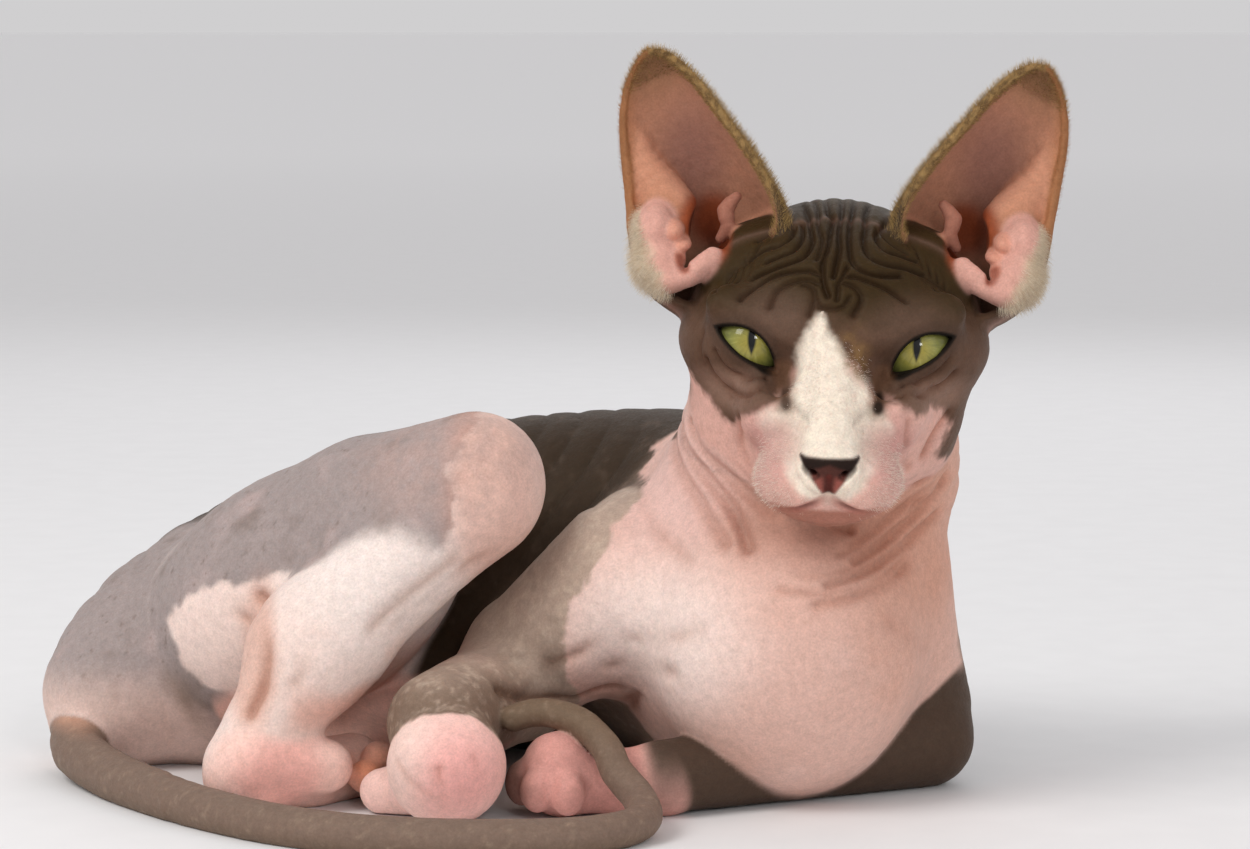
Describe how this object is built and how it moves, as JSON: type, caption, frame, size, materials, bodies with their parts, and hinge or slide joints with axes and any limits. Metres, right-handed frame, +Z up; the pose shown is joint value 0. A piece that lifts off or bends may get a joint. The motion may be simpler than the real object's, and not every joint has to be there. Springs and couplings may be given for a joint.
{
  "type": "sphynx cat figure",
  "caption": "Life-size still model of a hairless cat lying on its chest, head up, one hind knee raised, tail curled round the paws.",
  "frame": {"origin": "middle of the bounding box in X and Y, on the floor that the cat rests on", "axes": "+X from the rump to the side the head is on, along the longest extent; -Y the way the face looks; +Z up"},
  "size_m": [0.2792, 0.1982, 0.2001],
  "materials": {
    "skin_pink": "soft matt skin with fine creases",
    "skin_dark": "soft matt skin with fine creases and short down",
    "eye": "wet gloss"
  },
  "bodies": {
    "root": {"chest": "skin_pink", "belly": "skin_dark", "rump": "skin_dark", "neck": "skin_pink", "head": "skin_dark", "eye_right": "eye", "ear_right": "skin_pink", "eye_left": "eye", "ear_left": "skin_pink", "thigh_right": "skin_pink", "shank_right": "skin_pink", "foot_right": "skin_pink", "thigh_left": "skin_dark", "shank_left": "skin_pink", "foot_left": "skin_pink", "upper_arm_right": "skin_dark", "forearm_right": "skin_dark", "paw_right": "skin_pink", "upper_arm_left": "skin_pink", "forearm_left": "skin_dark", "paw_left": "skin_pink", "tail_root": "skin_dark", "tail_middle": "skin_dark", "tail_tip": "skin_dark"}
  },
  "joints": []
}
